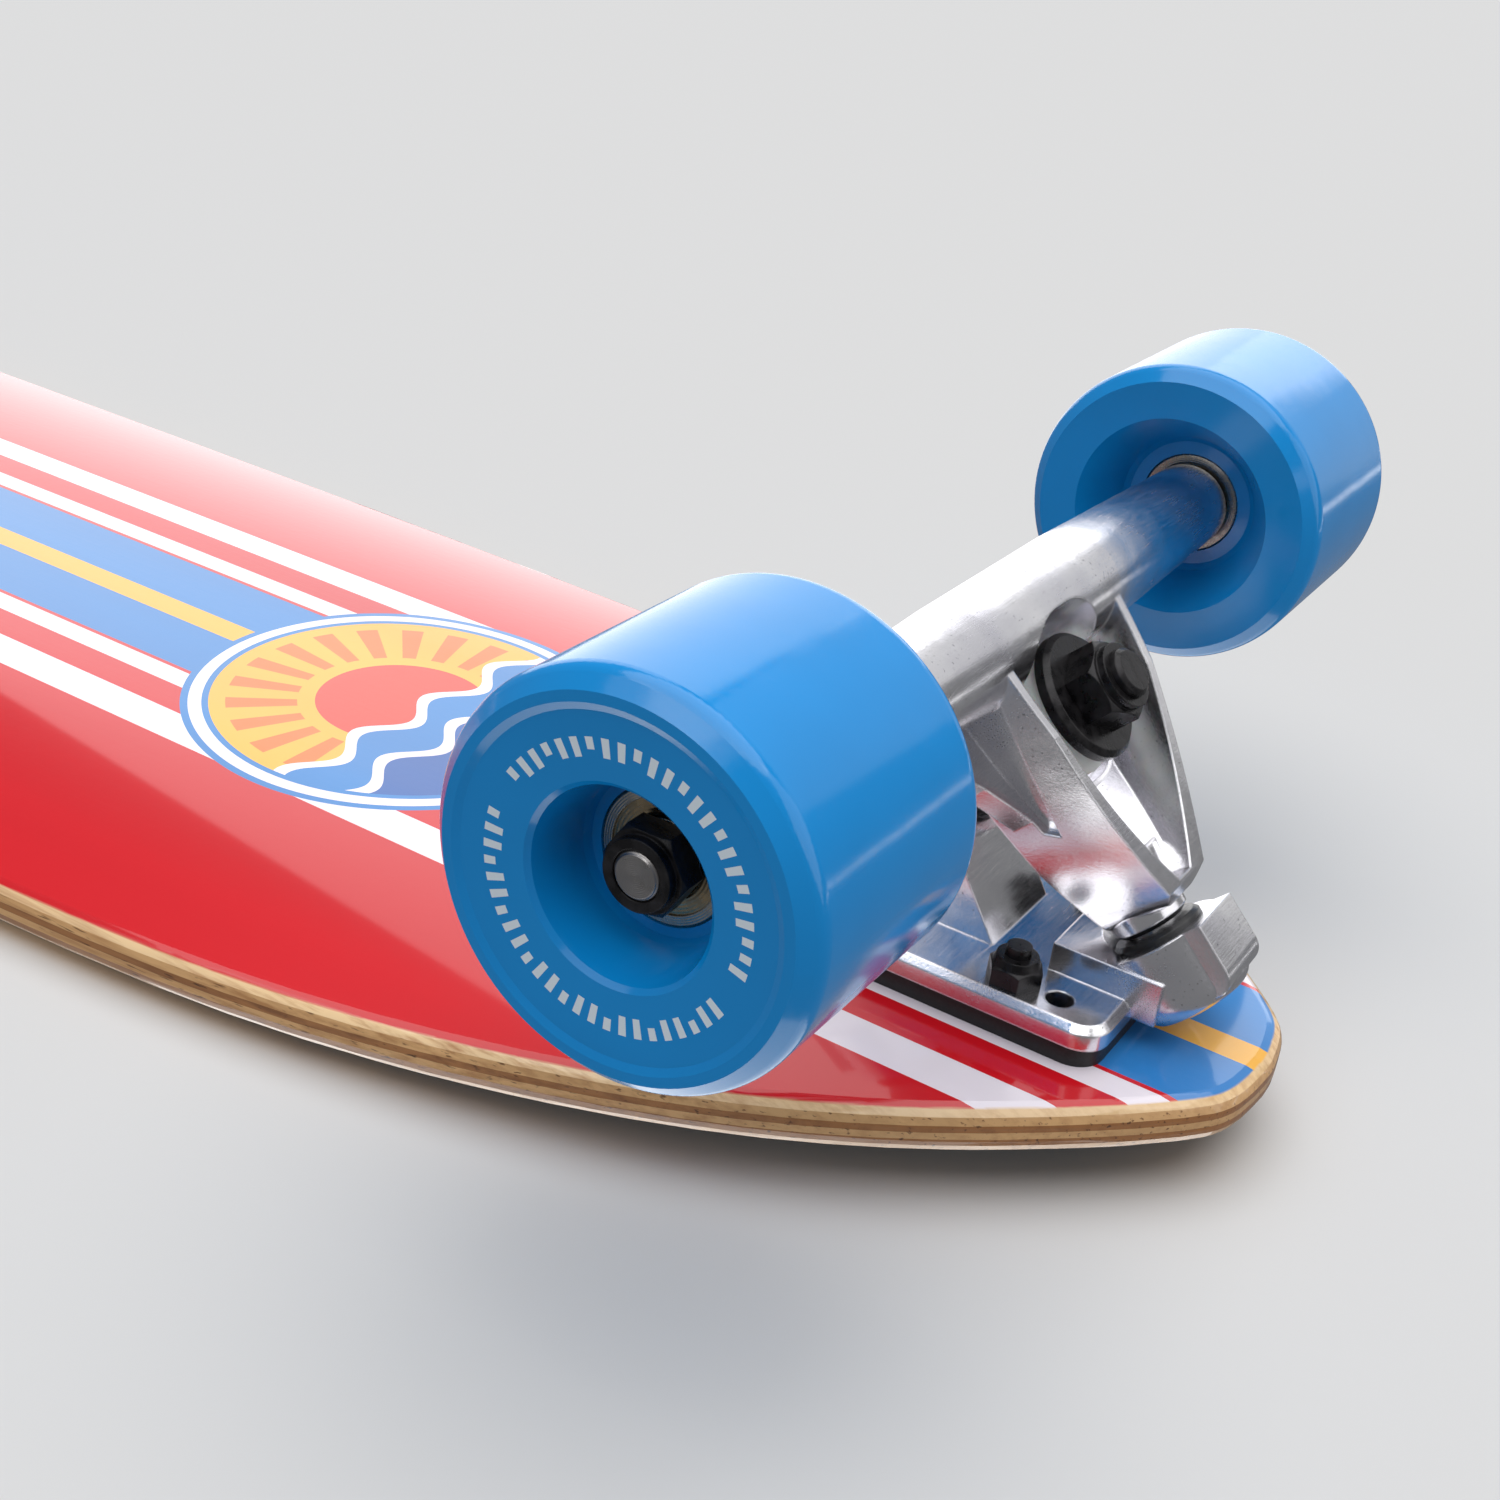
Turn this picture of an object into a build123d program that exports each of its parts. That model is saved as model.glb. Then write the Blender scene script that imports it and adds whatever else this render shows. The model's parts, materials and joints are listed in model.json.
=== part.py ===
from build123d import *
import math
import os

# Pintail longboard skateboard, wheels down. X runs from tail to nose, Z is up,
# the origin is on the ground under the middle of the board. Millimetres.

# ---- whole board ----
DECK_LENGTH = 889.0
WHEELBASE = 700.0
TAIL_OVERHANG = 67.0
WHEEL_RADIUS = 32.5
TAIL_TIP_X = -DECK_LENGTH / 2
REAR_AXLE_X = TAIL_TIP_X + TAIL_OVERHANG
FRONT_AXLE_X = REAR_AXLE_X + WHEELBASE

# ---- truck heights, measured up from the axle centre ----
RISER_THICKNESS = 4.0
TRUCK_HEIGHT = 64.0
FLANGE_THICKNESS = 4.7
DECK_UNDERSIDE = TRUCK_HEIGHT + RISER_THICKNESS

# ---- deck ----
PLY_COUNT = 7
DECK_THICKNESS = 10.0
PLY_THICKNESS = DECK_THICKNESS / PLY_COUNT
FLAT_HALF = 30.0
CONCAVE_RADIUS = 300.0
SECTION_HALF = 120.0
RAIL_ROUND = 3.6
GRIP_THICKNESS = 0.8
GRIP_INSET = 4.6
INSET_POINTS = 60
# half outline: distance from the tail tip, half width
OUTLINE = [
    (0.0, 0.0),
    (0.7, 8.0),
    (2.6, 15.4),
    (7.0, 22.0),
    (19.8, 35.6),
    (42.0, 54.0),
    (72.0, 71.5),
    (112.0, 86.5),
    (163.0, 98.0),
    (225.0, 104.0),
    (340.0, 107.8),
    (460.0, 109.0),
    (590.0, 107.0),
    (700.0, 100.0),
    (790.0, 84.0),
    (848.0, 58.0),
    (880.0, 27.0),
    (889.0, 0.0),
]

# ---- deck bolts ----
BOLT_HALF_WIDTH = 20.65
BOLT_OUTER_X = 21.5
BOLT_INNER_X = -32.48
EMPTY_HOLE_X = 31.02
BOLT_RADIUS = 2.4
BOLT_HOLE_RADIUS = 2.7
BOLT_HEAD_RADIUS = 4.6
BOLT_HEAD_DEPTH = 2.6
BOLT_END_BELOW_FLANGE = 7.6
DECK_NUT_ACROSS = 9.5
DECK_NUT_HEIGHT = 5.6

# ---- riser and baseplate ----
PLATE_INNER_X = -44.0
PLATE_OUTER_X = 42.0
PLATE_HALF_WIDTH = 27.5
PLATE_CORNER = 6.0
PLATE_BEVEL = 1.4
RISER_MARGIN = 0.6

# ---- steering geometry, in the truck's own x (toward the board's tip) and z (up) ----
STEER_ANGLE = 45.0
RING_X = 8.0
RING_Z = 18.0
AXLE_ALONG_PIVOT = -(RING_X + RING_Z) * math.sin(math.radians(STEER_ANGLE))
AXLE_ALONG_KINGPIN = (RING_Z - RING_X) * math.sin(math.radians(STEER_ANGLE))

# ---- kingpin stack, distances from the ring centre toward the road ----
KINGPIN_RADIUS = 4.76
KINGPIN_END = 24.0
KINGPIN_HEAD_TOP = -40.0
KINGPIN_HEAD_HEIGHT = 6.0
KINGPIN_NUT_ACROSS = 14.3
KINGPIN_NUT_HEX = 6.4
KINGPIN_NUT_COLLAR = 1.6
KINGPIN_NUT_COLLAR_RADIUS = 6.4
SEAT_HALF = 2.5
ROAD_WASHER_FACE = 14.0
WASHER_THICKNESS = 1.5
WASHER_RADIUS = 12.6
WASHER_WALL = 1.2
WASHER_LIP = 2.9
BOARD_SEAT = -18.0
BOSS_COLLAR_RADIUS = 14.6
BOSS_COLLAR_STEP = 3.0
BOSS_WEDGE_HALF = 13.0
BUSHING_HOLE_RADIUS = 4.9
BUSHING_BASE_RADIUS = 13.2
BUSHING_TOP_RADIUS = 11.2
BUSHING_WAIST_RADIUS = 13.6
BUSHING_BASE_HEIGHT = 4.0

# ---- pivot ----
PIVOT_PIN_RADIUS = 5.5
PIVOT_PIN_CLEARANCE = 0.05
PIVOT_PIN_START = 30.0
PIVOT_PIN_END = 55.0
CUP_RIM_START = 44.4
CUP_RIM_END = 46.0
CUP_RIM_RADIUS = 9.0
CUP_BODY_RADIUS = 8.0
CUP_BODY_END = 56.0
LUG_RADIUS = 12.0
LUG_END = 61.0
LUG_RIDGE_HALF = 8.0
LUG_RIDGE_HEIGHT = 12.8
LUG_RIDGE_END = 59.5

# ---- hanger ----
HANGER_HALF = 91.0
TUBE_MID_RADIUS = 11.0
TUBE_END_RADIUS = 9.2
TUBE_TAPER_START = 26.0
TRAY_WIDE_X = -16.0
TRAY_WIDE_HALF = 26.0
TRAY_BOW_X = 10.0
TRAY_BOW_HALF = 20.8
TRAY_TIP_X = 41.0
TRAY_TIP_HALF = 7.2
TRAY_BOTTOM = -6.0
TRAY_RIM_AT_TUBE = 16.0
TRAY_RIM_AT_TIP = 11.3
RIM_TOP_THICKNESS = 2.6
RIM_BASE_THICKNESS = 5.0
POCKET_DRAFT = 10.0
TRAY_FLOOR_AT_TIP = 7.6
RECESS_DEPTH = 2.2
RECESS_END_X = 19.0
RING_HOLE_RADIUS = 8.2
WELL_RADIUS = 14.4
WELL_SIDE_SHIFT = 2.0
WELL_FLARE = 9.0
LIP_THICKNESS = 1.5
LIP_TOP = 5.4
WING_BOTTOM = -3.4
WING_TOP = 1.2

# ---- axle and running gear, measured out from the hanger's end ----
AXLE_RADIUS = 4.0
AXLE_HALF = 123.5
SPEED_WASHER_THICKNESS = 1.0
SPEED_WASHER_RADIUS = 5.6
BEARING_WIDTH = 7.0
BEARING_RADIUS = 11.0
SPACER_LENGTH = 10.0
SPACER_RADIUS = 5.2
AXLE_NUT_ACROSS = 12.7
AXLE_NUT_HEX = 4.6
AXLE_NUT_COLLAR = 1.6
INNER_RING_RADIUS = 6.0
OUTER_RING_INNER_RADIUS = 9.1
SHIELD_THICKNESS = 0.35
SHIELD_INSET = 0.35
BALL_RADIUS = 1.98
BALL_COUNT = 7
BALL_PITCH_RADIUS = 7.5
RACE_CLEARANCE = 0.02
RING_CORNER = 0.4
CAGE_THICKNESS = 0.6
CAGE_WIDTH = 3.4
AXLE_CLEARANCE = 0.03

# ---- wheel ----
WHEEL_WIDTH = 51.0
WHEEL_LIP = 3.0
WHEEL_LIP_ROUND = 3.4
WHEEL_RIDGE_RADIUS = 27.8
WHEEL_DISH_RADIUS = 26.6
WHEEL_RIDGE_STEP = 0.6
WHEEL_BORE_RIM = 15.2
WHEEL_BORE_DEPTH = 1.8
WHEEL_BORE_BOTTOM = 12.6
WHEEL_INNER_RECESS = 21.5
WHEEL_INNER_RIM = 15.0
WHEEL_CENTRE_BORE = 9.3


def bearing_start():
    return HANGER_HALF + SPEED_WASHER_THICKNESS


def wheel_centre():
    return bearing_start() + BEARING_WIDTH + SPACER_LENGTH / 2


def place_truck(part, axle_x, turned):
    """Stand a part made in the truck's own frame at its axle."""
    spin = 180 if turned else 0
    return Pos(axle_x, 0, WHEEL_RADIUS) * Rot(0, 0, spin) * part


def steering_frame():
    """Local x runs along the pivot axis toward the cup, local z along the kingpin toward the road."""
    return Location(Plane(
        origin=(RING_X, 0, RING_Z),
        x_dir=(math.cos(math.radians(STEER_ANGLE)), 0, math.sin(math.radians(STEER_ANGLE))),
        z_dir=(math.sin(math.radians(STEER_ANGLE)), 0, -math.cos(math.radians(STEER_ANGLE))),
    ))


def disc(radius, start, end):
    """Cylinder along local z."""
    return Pos(0, 0, start) * Cylinder(radius, end - start, align=(Align.CENTER, Align.CENTER, Align.MIN))


def tube(outer, inner, start, end):
    return disc(outer, start, end) - disc(inner, start - 1, end + 1)


def hexagon(across, start, end):
    side = RegularPolygon(across / math.sqrt(3), 6)
    return Pos(0, 0, start) * extrude(side, end - start)


def lathe(points):
    """Revolve (radius, height) points about local z."""
    profile = make_face(Plane.XZ * Polyline(*[(r, h) for r, h in points], close=True))
    return revolve(profile, Axis.Z)


def along_pivot(part):
    """Turn a part made along z so that it lies along the pivot axis."""
    return Rot(0, 90, 0) * part


def along_axle(part, side):
    """Turn a part made along z so that it lies along the axle, pointing to one side."""
    return Rot(-90 * side, 0, 0) * part


# ---------------------------------------------------------------- deck

def section_line(offset):
    """Deck cross-section curve, a height above the underside, as (y, z) pieces."""
    base = WHEEL_RADIUS + DECK_UNDERSIDE + offset
    radius = CONCAVE_RADIUS - offset
    sweep = math.asin((SECTION_HALF - FLAT_HALF) / CONCAVE_RADIUS)
    centre_z = base + radius

    def arc_point(angle, side):
        return (side * (FLAT_HALF + radius * math.sin(angle)), centre_z - radius * math.cos(angle))

    left = ThreePointArc(arc_point(sweep, -1), arc_point(sweep / 2, -1), arc_point(0, -1))
    flat = Line(arc_point(0, -1), arc_point(0, 1))
    right = ThreePointArc(arc_point(0, 1), arc_point(sweep / 2, 1), arc_point(sweep, 1))
    return left, flat, right


def section_slab(low, high):
    """Concave slab between two heights above the underside, full length."""
    low_line = section_line(low)
    high_line = section_line(high)
    close_right = Line(low_line[2] @ 1, high_line[2] @ 1)
    close_left = Line(high_line[0] @ 0, low_line[0] @ 0)
    edges = list(low_line) + [close_right] + list(high_line) + [close_left]
    face = make_face([Plane.YZ * edge for edge in edges])
    return Pos(-DECK_LENGTH / 2 - 10, 0, 0) * extrude(face, DECK_LENGTH + 20, dir=(1, 0, 0))


def inset_curve(curve, inset):
    """Closed curve the given distance inside another that runs anticlockwise."""
    points = []
    for number in range(INSET_POINTS):
        share = number / INSET_POINTS
        inward = (curve % share).rotate(Axis.Z, 90)
        points.append((curve @ share) + inward * inset)
    return Spline(*points, periodic=True)


def outline_face(inset):
    right = [(TAIL_TIP_X + x, -w) for x, w in OUTLINE]
    left = [(x, -y) for x, y in right[-2:0:-1]]
    edge = Spline(*right, *left, periodic=True)
    if inset:
        edge = inset_curve(edge, inset)
    return make_face(edge)


def bolt_places():
    for axle_x, facing in ((REAR_AXLE_X, -1), (FRONT_AXLE_X, 1)):
        for x in (BOLT_OUTER_X, BOLT_INNER_X):
            for y in (-BOLT_HALF_WIDTH, BOLT_HALF_WIDTH):
                yield axle_x + facing * x, y


def deck_blank():
    low = WHEEL_RADIUS + DECK_UNDERSIDE - 5
    block = Pos(0, 0, low) * extrude(outline_face(0), 60, dir=(0, 0, 1))
    blank = section_slab(0, DECK_THICKNESS) & block
    rails = blank.edges().filter_by(GeomType.LINE, reverse=True)
    blank = fillet(rails, RAIL_ROUND)
    top = WHEEL_RADIUS + DECK_UNDERSIDE + DECK_THICKNESS
    for x, y in bolt_places():
        blank -= Pos(x, y, top - 15) * Cylinder(BOLT_HOLE_RADIUS, 40)
        blank -= Pos(x, y, top - BOLT_HEAD_DEPTH / 2) * Cone(
            BOLT_HOLE_RADIUS, BOLT_HEAD_RADIUS + 0.1, BOLT_HEAD_DEPTH)
    return blank


def deck_plies():
    blank = deck_blank()
    for number in range(PLY_COUNT):
        low = number * PLY_THICKNESS
        yield number + 1, blank & section_slab(low, low + PLY_THICKNESS)


def grip_tape():
    low = WHEEL_RADIUS + DECK_UNDERSIDE + DECK_THICKNESS - 2
    block = Pos(0, 0, low) * extrude(outline_face(GRIP_INSET), 40, dir=(0, 0, 1))
    sheet = section_slab(DECK_THICKNESS, DECK_THICKNESS + GRIP_THICKNESS) & block
    for x, y in bolt_places():
        sheet -= Pos(x, y, low) * Cylinder(BOLT_HEAD_RADIUS + 0.3, 20)
    return sheet


# ---------------------------------------------------------------- fixed truck parts

def truck_bolts(xs):
    for x in xs:
        for y in (-BOLT_HALF_WIDTH, BOLT_HALF_WIDTH):
            yield x, y


def riser_pad():
    length = PLATE_OUTER_X - PLATE_INNER_X - 2 * RISER_MARGIN
    width = 2 * (PLATE_HALF_WIDTH - RISER_MARGIN)
    middle = (PLATE_OUTER_X + PLATE_INNER_X) / 2
    pad = extrude(RectangleRounded(length, width, PLATE_CORNER), RISER_THICKNESS)
    pad = Pos(middle, 0, TRUCK_HEIGHT) * pad
    for x, y in truck_bolts((BOLT_OUTER_X, BOLT_INNER_X, EMPTY_HOLE_X)):
        pad -= Pos(x, y, TRUCK_HEIGHT) * Cylinder(BOLT_HOLE_RADIUS, 20)
    return pad


def kingpin_boss():
    """Wedge that carries the board-side bushing square to the kingpin."""
    lean = math.radians(STEER_ANGLE)
    wedge_seat = BOARD_SEAT - BOSS_COLLAR_STEP
    seat_x = RING_X + wedge_seat * math.sin(lean)
    seat_z = RING_Z - wedge_seat * math.cos(lean)
    reach_x = BOSS_WEDGE_HALF * math.cos(lean)
    reach_z = BOSS_WEDGE_HALF * math.sin(lean)
    plate_z = TRUCK_HEIGHT - FLANGE_THICKNESS
    profile = Polyline(
        (seat_x - reach_x, seat_z - reach_z),
        (seat_x + reach_x, seat_z + reach_z),
        (14.0, plate_z + 1),
        (-41.0, plate_z + 1),
        (-38.0, plate_z - 5),
        close=True,
    )
    wedge = extrude(make_face(Plane.XZ * profile), 12.5, both=True)
    collar = steering_frame() * disc(BOSS_COLLAR_RADIUS, BOARD_SEAT - 14, BOARD_SEAT)
    below = Pos(0, 0, 0) * Box(200, 200, plate_z + 1, align=(Align.CENTER, Align.CENTER, Align.MIN))
    return wedge + (collar & below)


def pivot_lug():
    """Housing for the pivot cup, leaning out past the plate's end."""
    barrel = steering_frame() * along_pivot(disc(LUG_RADIUS, CUP_RIM_END, LUG_END))
    end_edges = barrel.edges().filter_by(GeomType.CIRCLE).sort_by(Axis.Z)[-1]
    barrel = fillet(end_edges, 4)
    ridge_length = LUG_RIDGE_END - CUP_RIM_END
    ridge = Box(ridge_length, 2 * LUG_RIDGE_HALF, LUG_RIDGE_HEIGHT, align=(Align.MIN, Align.CENTER, Align.MIN))
    ridge = fillet(ridge.edges().filter_by(Axis.Y).group_by(Axis.Z)[-1].sort_by(Axis.X)[-1], 4)
    barrel += steering_frame() * (Pos(CUP_RIM_END, 0, 0) * ridge)
    foot = Pos(36.0, 0, TRUCK_HEIGHT - 6) * Box(22, 25, 9)
    keep = Pos(0, 0, 0) * Box(200, 200, TRUCK_HEIGHT - 0.6, align=(Align.CENTER, Align.CENTER, Align.MIN))
    return (barrel + foot) & keep


def baseplate():
    length = PLATE_OUTER_X - PLATE_INNER_X
    middle = (PLATE_OUTER_X + PLATE_INNER_X) / 2
    plate = extrude(RectangleRounded(length, 2 * PLATE_HALF_WIDTH, PLATE_CORNER), FLANGE_THICKNESS)
    plate = chamfer(plate.faces().sort_by(Axis.Z)[0].edges(), PLATE_BEVEL)
    plate = Pos(middle, 0, TRUCK_HEIGHT - FLANGE_THICKNESS) * plate
    plate += kingpin_boss()
    plate += pivot_lug()
    for x, y in truck_bolts((BOLT_OUTER_X, BOLT_INNER_X, EMPTY_HOLE_X)):
        plate -= Pos(x, y, TRUCK_HEIGHT) * Cylinder(BOLT_HOLE_RADIUS, 20)
    shank_hole = disc(KINGPIN_RADIUS + 0.02, KINGPIN_HEAD_TOP - 1, BOARD_SEAT + 20)
    head_pocket = disc(9.4, KINGPIN_HEAD_TOP - 40, KINGPIN_HEAD_TOP)
    cup_bore = along_pivot(disc(CUP_BODY_RADIUS, CUP_RIM_END - 5, CUP_BODY_END))
    pin_room = along_pivot(disc(CUP_RIM_RADIUS + 0.4, CUP_RIM_END - 20, CUP_RIM_END))
    plate -= steering_frame() * shank_hole
    plate -= steering_frame() * head_pocket
    plate -= steering_frame() * cup_bore
    plate -= steering_frame() * pin_room
    return plate


def kingpin():
    bolt = disc(KINGPIN_RADIUS, KINGPIN_HEAD_TOP, KINGPIN_END - 0.8)
    bolt += Pos(0, 0, KINGPIN_END - 0.8) * Cone(
        KINGPIN_RADIUS, KINGPIN_RADIUS - 0.8, 0.8, align=(Align.CENTER, Align.CENTER, Align.MIN))
    bolt += hexagon(KINGPIN_NUT_ACROSS, KINGPIN_HEAD_TOP - KINGPIN_HEAD_HEIGHT, KINGPIN_HEAD_TOP)
    return steering_frame() * bolt


def kingpin_nut():
    start = ROAD_WASHER_FACE
    hex_end = start + KINGPIN_NUT_HEX
    crown = lathe([(0, start), (8.6, start), (8.6, hex_end - 1.2), (7.2, hex_end), (0, hex_end)])
    nut = hexagon(KINGPIN_NUT_ACROSS, start, hex_end) & crown
    nut += disc(KINGPIN_NUT_COLLAR_RADIUS, hex_end, hex_end + KINGPIN_NUT_COLLAR)
    nut -= disc(KINGPIN_RADIUS, start - 1, hex_end + 5)
    return steering_frame() * nut


def cup_washer_profile():
    wall_in = WASHER_RADIUS - WASHER_WALL
    return [
        (BUSHING_HOLE_RADIUS, 0),
        (WASHER_RADIUS - 1.0, 0),
        (WASHER_RADIUS, -1.0),
        (WASHER_RADIUS, -WASHER_LIP),
        (wall_in, -WASHER_LIP),
        (wall_in, -WASHER_THICKNESS),
        (BUSHING_HOLE_RADIUS, -WASHER_THICKNESS),
    ]


def washer_roadside():
    return steering_frame() * (Pos(0, 0, ROAD_WASHER_FACE) * lathe(cup_washer_profile()))


def washer_boardside():
    flipped = Rot(180, 0, 0) * lathe(cup_washer_profile())
    return steering_frame() * (Pos(0, 0, BOARD_SEAT) * flipped)


def bushing_roadside():
    inside = ROAD_WASHER_FACE - WASHER_THICKNESS
    lip = ROAD_WASHER_FACE - WASHER_LIP
    body = lathe([
        (BUSHING_HOLE_RADIUS, SEAT_HALF),
        (BUSHING_BASE_RADIUS, SEAT_HALF),
        (BUSHING_BASE_RADIUS, SEAT_HALF + BUSHING_BASE_HEIGHT),
        (BUSHING_TOP_RADIUS, lip - 0.8),
        (BUSHING_TOP_RADIUS, inside),
        (BUSHING_HOLE_RADIUS, inside),
    ])
    return steering_frame() * body


def bushing_boardside():
    inside = BOARD_SEAT + WASHER_THICKNESS
    lip = BOARD_SEAT + WASHER_LIP
    body = lathe([
        (BUSHING_HOLE_RADIUS, inside),
        (BUSHING_TOP_RADIUS, inside),
        (BUSHING_TOP_RADIUS, lip + 0.8),
        (BUSHING_WAIST_RADIUS, lip + 3.6),
        (BUSHING_WAIST_RADIUS, -SEAT_HALF - 1.5),
        (BUSHING_BASE_RADIUS, -SEAT_HALF),
        (BUSHING_HOLE_RADIUS, -SEAT_HALF),
    ])
    return steering_frame() * body


def pivot_cup():
    bore = PIVOT_PIN_RADIUS + PIVOT_PIN_CLEARANCE
    body = lathe([
        (bore, CUP_RIM_START),
        (CUP_RIM_RADIUS - 0.8, CUP_RIM_START),
        (CUP_RIM_RADIUS, CUP_RIM_START + 0.8),
        (CUP_RIM_RADIUS, CUP_RIM_END),
        (CUP_BODY_RADIUS, CUP_RIM_END),
        (CUP_BODY_RADIUS, CUP_BODY_END),
        (0, CUP_BODY_END),
        (0, PIVOT_PIN_END + 0.2),
        (bore, PIVOT_PIN_END + 0.2),
    ])
    return steering_frame() * along_pivot(body)


def deck_bolts():
    top = DECK_UNDERSIDE + DECK_THICKNESS
    end = TRUCK_HEIGHT - FLANGE_THICKNESS - BOLT_END_BELOW_FLANGE
    group = []
    for x, y in truck_bolts((BOLT_OUTER_X, BOLT_INNER_X)):
        shank = disc(BOLT_RADIUS, end, top - BOLT_HEAD_DEPTH)
        head = Pos(0, 0, top - BOLT_HEAD_DEPTH / 2) * Cone(BOLT_RADIUS, BOLT_HEAD_RADIUS, BOLT_HEAD_DEPTH)
        bolt = shank + head
        bolt -= Pos(0, 0, top) * Box(5.0, 1.1, 2.4)
        bolt -= Pos(0, 0, top) * Box(1.1, 5.0, 2.4)
        group.append(Pos(x, y, 0) * bolt)
    return Compound(children=group)


def deck_nuts():
    start = TRUCK_HEIGHT - FLANGE_THICKNESS
    group = []
    for x, y in truck_bolts((BOLT_OUTER_X, BOLT_INNER_X)):
        low = start - DECK_NUT_HEIGHT
        crown = lathe([(0, low), (4.0, low), (4.6, low + 1.6), (5.6, low + 2.4), (5.6, start), (0, start)])
        nut = (hexagon(DECK_NUT_ACROSS, low, start) & crown) - disc(BOLT_RADIUS, low - 1, start + 1)
        group.append(Pos(x, y, 0) * nut)
    return Compound(children=group)


# ---------------------------------------------------------------- hanger

def tray_outline(inset, tip_back):
    """Closed plan of the yoke, with bowed sides."""
    wide = TRAY_WIDE_HALF - inset
    bow = TRAY_BOW_HALF - inset
    tip = TRAY_TIP_HALF - inset
    tip_x = TRAY_TIP_X - tip_back
    return [
        Line((TRAY_WIDE_X, wide), (TRAY_WIDE_X, -wide)),
        ThreePointArc((TRAY_WIDE_X, -wide), (TRAY_BOW_X, -bow), (tip_x, -tip)),
        Line((tip_x, -tip), (tip_x, tip)),
        ThreePointArc((tip_x, tip), (TRAY_BOW_X, bow), (TRAY_WIDE_X, wide)),
    ]


def side_view_block(points, half):
    """Extrude a local (x, z) outline across the truck."""
    return extrude(make_face(Plane.XZ * Polyline(*points, close=True)), half, both=True)


def hanger_tray():
    """Triangular yoke between the axle tube and the pivot, open toward the road."""
    blank = Pos(0, 0, TRAY_BOTTOM) * extrude(make_face(tray_outline(0, 0)), 40)
    envelope = side_view_block([
        (TRAY_WIDE_X, TRAY_BOTTOM + 2.0),
        (24.0, TRAY_BOTTOM),
        (TRAY_TIP_X, -5.0),
        (TRAY_TIP_X, TRAY_RIM_AT_TIP - 3.0),
        (TRAY_TIP_X - 2.5, TRAY_RIM_AT_TIP),
        (2.0, TRAY_RIM_AT_TUBE),
        (TRAY_WIDE_X, TRAY_RIM_AT_TUBE),
    ], 60)
    blank = blank & envelope
    corners = blank.edges().filter_by(lambda e: abs(e.center().X - TRAY_TIP_X) < 2.7)
    corners = corners.filter_by(lambda e: abs(abs(e.center().Y) - TRAY_TIP_HALF) < 1.5)
    corners = corners.filter_by(Axis.Z)
    blank = fillet(corners, 4.5)
    pocket_floor = make_face(tray_outline(RIM_BASE_THICKNESS, RIM_BASE_THICKNESS))
    pocket_plan = Pos(0, 0, SEAT_HALF) * extrude(pocket_floor, 30, taper=-POCKET_DRAFT)
    pocket_side = side_view_block([
        (TRAY_WIDE_X - 6, SEAT_HALF),
        (15.5, SEAT_HALF),
        (34.0, TRAY_FLOOR_AT_TIP),
        (TRAY_TIP_X, TRAY_FLOOR_AT_TIP),
        (TRAY_TIP_X, 30),
        (TRAY_WIDE_X - 6, 30),
    ], 60)
    return blank - (pocket_plan & pocket_side)


def side_recess(side):
    """Hollow in the outside of a tray wall, between the rim and the wing."""
    outside = Pos(0, side * 40, 0) * Box(120, 80, 60)
    hollow = outside - Pos(0, 0, -30) * extrude(make_face(tray_outline(RECESS_DEPTH, 0)), 60)
    shape = side_view_block([
        (TRAY_WIDE_X, WING_TOP),
        (RECESS_END_X - 2.0, WING_TOP),
        (RECESS_END_X, WING_TOP + 2.4),
        (TRAY_WIDE_X, TRAY_RIM_AT_TUBE - RIM_TOP_THICKNESS),
    ], 60)
    return hollow & shape


def hanger_wing(side):
    """Gusset that spreads the tray's lower edge out along the axle tube."""
    plan = Polyline(
        (AXLE_ALONG_PIVOT + 2, side * 8),
        (24.0, side * 8),
        (24.0, side * 14.0),
        (15.0, side * 18.8),
        (4.0, side * 27.5),
        (AXLE_ALONG_PIVOT + 8, side * 42.0),
        (AXLE_ALONG_PIVOT + 2, side * 44.0),
        close=True,
    )
    return Pos(0, 0, WING_BOTTOM) * extrude(make_face(plan), WING_TOP - WING_BOTTOM)


def hanger_tube():
    spine = Pos(0, 0, -HANGER_HALF) * lathe([
        (0, 0),
        (TUBE_END_RADIUS - 1.0, 0),
        (TUBE_END_RADIUS, 1.2),
        (TUBE_MID_RADIUS, HANGER_HALF - TUBE_TAPER_START),
        (TUBE_MID_RADIUS, HANGER_HALF + TUBE_TAPER_START),
        (TUBE_END_RADIUS, 2 * HANGER_HALF - 1.2),
        (TUBE_END_RADIUS - 1.0, 2 * HANGER_HALF),
        (0, 2 * HANGER_HALF),
    ])
    return Pos(AXLE_ALONG_PIVOT, 0, AXLE_ALONG_KINGPIN) * along_axle(spine, 1)


def well_plan(margin):
    """Outline round a bushing, stretched sideways for the steering swing."""
    return Rot(0, 0, 90) * SlotCenterToCenter(2 * WELL_SIDE_SHIFT, 2 * (WELL_RADIUS + margin))


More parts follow.
